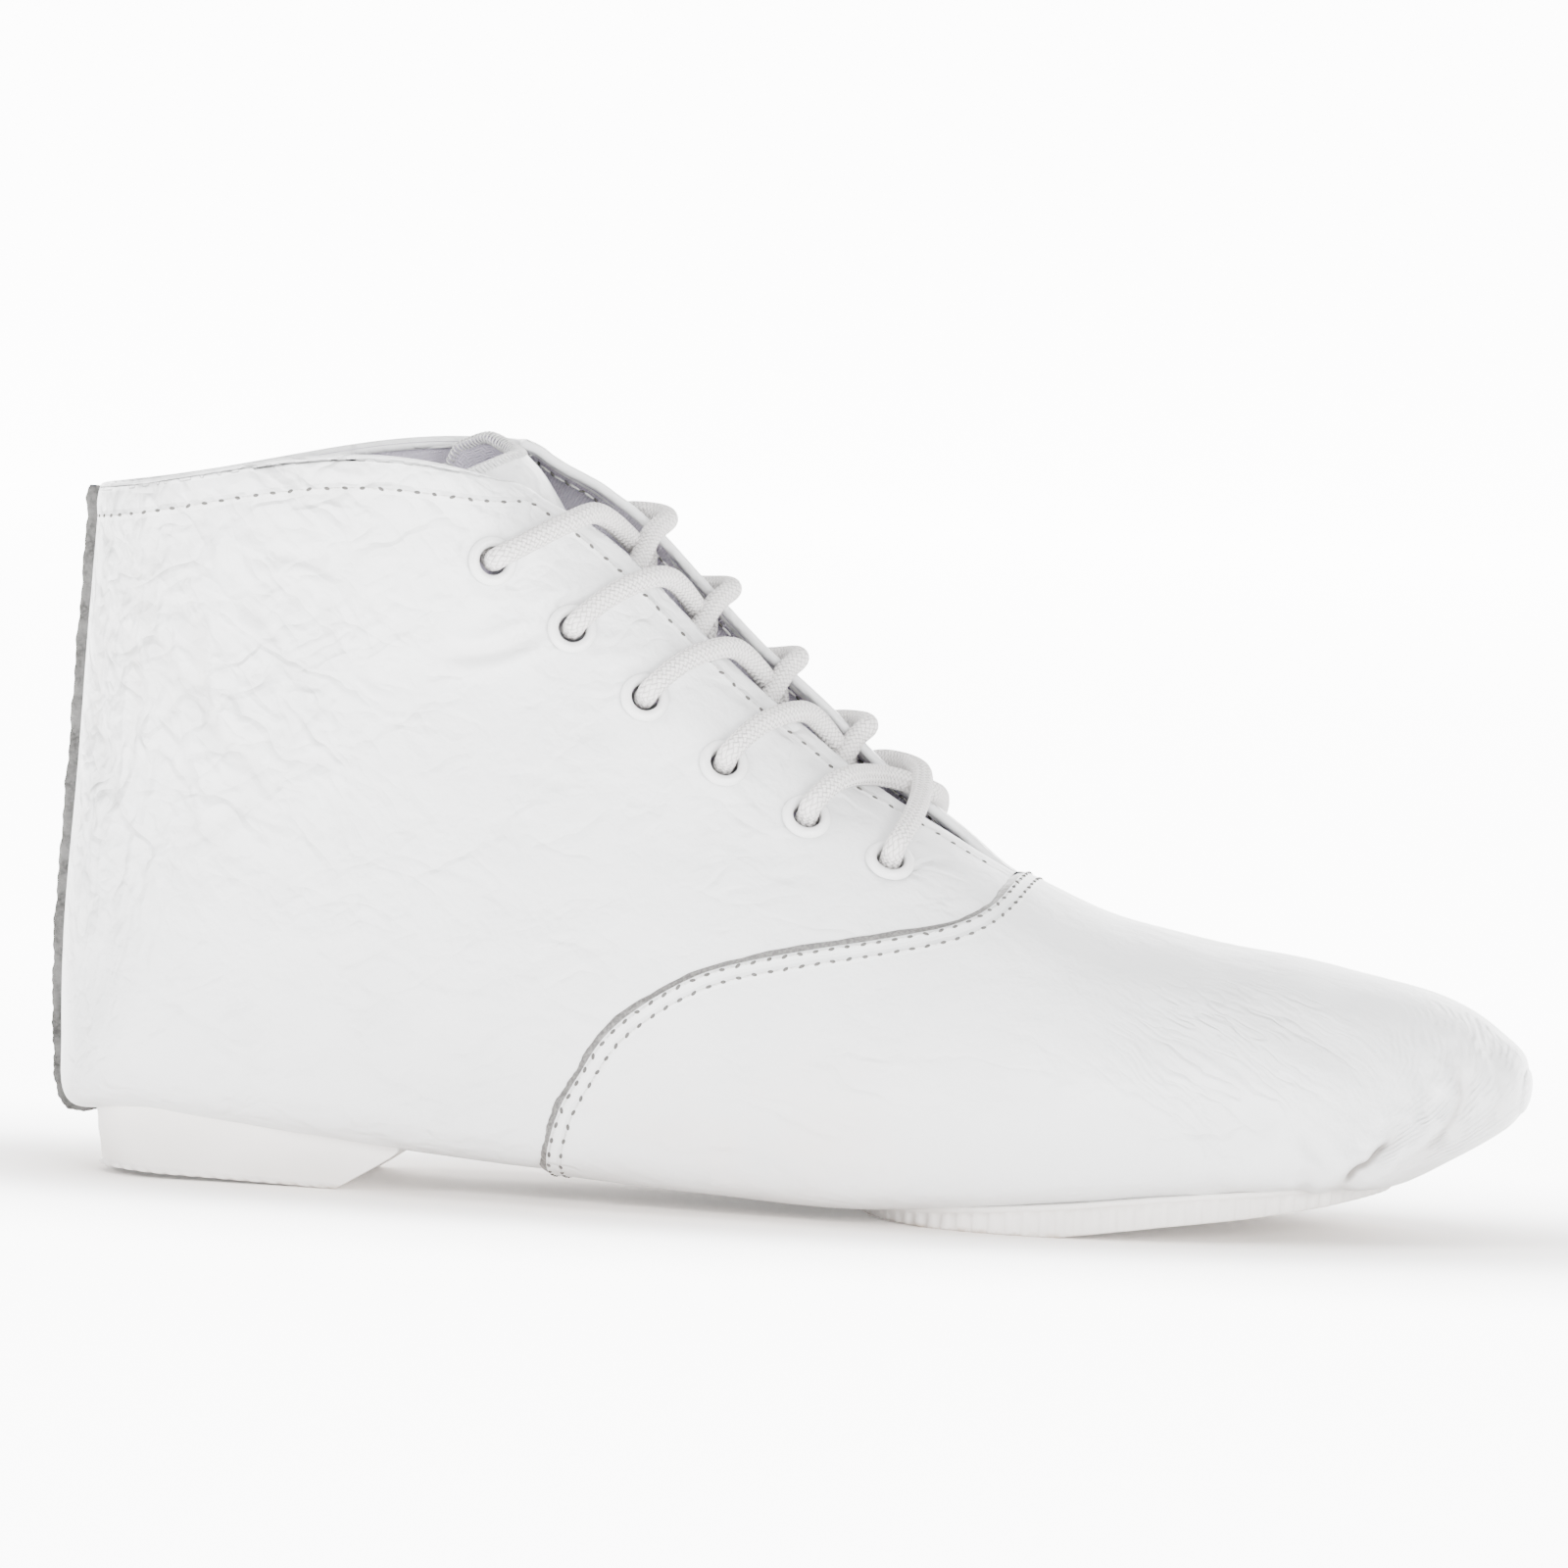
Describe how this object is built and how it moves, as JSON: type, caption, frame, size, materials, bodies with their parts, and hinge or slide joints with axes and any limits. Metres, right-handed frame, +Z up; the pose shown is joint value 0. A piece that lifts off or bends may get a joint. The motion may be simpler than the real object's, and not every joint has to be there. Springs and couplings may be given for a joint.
{
  "type": "dance boot",
  "caption": "Low lace-up dance boot for the right foot: soft leather upper open at the collar, tongue, crossed lace, split ribbed rubber sole and a low heel block.",
  "frame": {"origin": "middle of the heel block's flat underside, on the floor", "axes": "+X towards the toe, +Y towards the medial (inner) side of this right boot, +Z up"},
  "size_m": [0.2608, 0.0897, 0.1324],
  "materials": {
    "leather": "soft white nappa leather with a low gloss",
    "rubber": "matt off-white rubber",
    "lining": "plain canvas",
    "enamel": "white enamel, satin",
    "cotton": "braided white cotton"
  },
  "bodies": {
    "root": {"upper": "leather", "forefoot_sole": "rubber", "heel_block": "rubber", "insole": "lining", "tongue": "leather", "eyelet_lateral_1": "enamel", "eyelet_lateral_2": "enamel", "eyelet_lateral_3": "enamel", "eyelet_lateral_4": "enamel", "eyelet_lateral_5": "enamel", "eyelet_lateral_6": "enamel", "eyelet_medial_1": "enamel", "eyelet_medial_2": "enamel", "eyelet_medial_3": "enamel", "eyelet_medial_4": "enamel", "eyelet_medial_5": "enamel", "eyelet_medial_6": "enamel", "lace_crossing_1": "cotton", "lace_crossing_2": "cotton", "lace_crossing_3": "cotton", "lace_crossing_4": "cotton", "lace_crossing_5": "cotton", "lace_bar": "cotton"}
  },
  "joints": []
}
